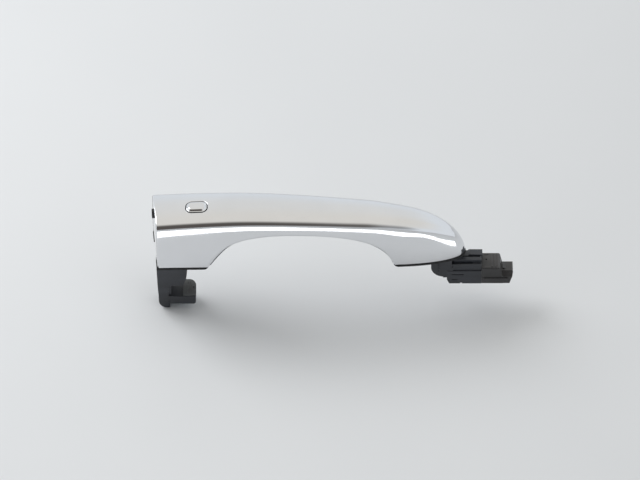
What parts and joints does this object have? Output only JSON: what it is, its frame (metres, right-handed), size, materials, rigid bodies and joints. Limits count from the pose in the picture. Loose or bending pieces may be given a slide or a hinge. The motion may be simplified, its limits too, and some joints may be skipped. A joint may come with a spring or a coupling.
{
  "type": "car door handle",
  "caption": "Curved pull handle for a car door: chrome-plated cover over a black carrier with rear hook leg, front pivot arm, lock button and cable connector.",
  "frame": {"origin": "centre of the front seat, where the front gasket rests on the door skin, on the handle's middle line", "axes": "+X forward along the grip, from the rear foot towards the pivot nose and connector; +Z outward from the door skin; +Y across the handle, with the door on the -Z side. The rear end is on -X"},
  "size_m": [0.2388, 0.0358, 0.0901],
  "materials": {
    "chrome_plate": "polished bright plating",
    "button_chrome": "polished bright plating",
    "carrier_plastic": "glass-filled moulding, fine grain",
    "pad_plastic": "leather-like grain",
    "gasket_rubber": "matt",
    "seal_rubber": "satin",
    "guide_plastic": "as moulded",
    "boot_silicone": "translucent satin",
    "switch_plastic": "semi-gloss",
    "plunger_plastic": "as moulded",
    "board_laminate": "solder mask",
    "chip_plastic": "moulded epoxy",
    "screw_steel": "zinc plated",
    "sense_copper": "rolled copper",
    "ferrite": "sintered",
    "coil_copper": "enamelled wire",
    "lead_insulation": "satin",
    "connector_plastic": "as moulded",
    "terminal_tin": "tin plated",
    "seal_silicone": "satin",
    "shoe_acetal": "as moulded"
  },
  "bodies": {
    "handle": {"outer_cover": "chrome_plate", "carrier": "carrier_plastic", "grip_pad": "pad_plastic", "front_gasket": "gasket_rubber", "rear_gasket": "gasket_rubber", "end_bumper": "gasket_rubber", "button_seal": "seal_rubber", "button_guide": "guide_plastic", "button_boot": "boot_silicone", "switch_body": "switch_plastic", "circuit_board": "board_laminate", "board_components": "chip_plastic", "board_screws": "screw_steel", "cover_screws": "screw_steel", "sense_plate": "sense_copper", "ferrite_core": "ferrite", "coil_bobbin": "guide_plastic", "antenna_coil": "coil_copper", "harness_wires": "lead_insulation", "connector_housing": "connector_plastic", "connector_terminals": "terminal_tin", "connector_seal": "seal_silicone", "terminal_lock": "guide_plastic", "catch_shoe": "shoe_acetal"},
    "button": {"lock_button": "button_chrome", "switch_plunger": "plunger_plastic"}
  },
  "joints": [
    {"name": "button_press", "type": "slide", "parent": "handle", "child": "button", "axis": [0, 0, -1], "range_m": [0, 0.0007], "stiffness_N_per_m": 3500, "springref_m": -0.0003, "deforming": ["button_boot"]}
  ]
}
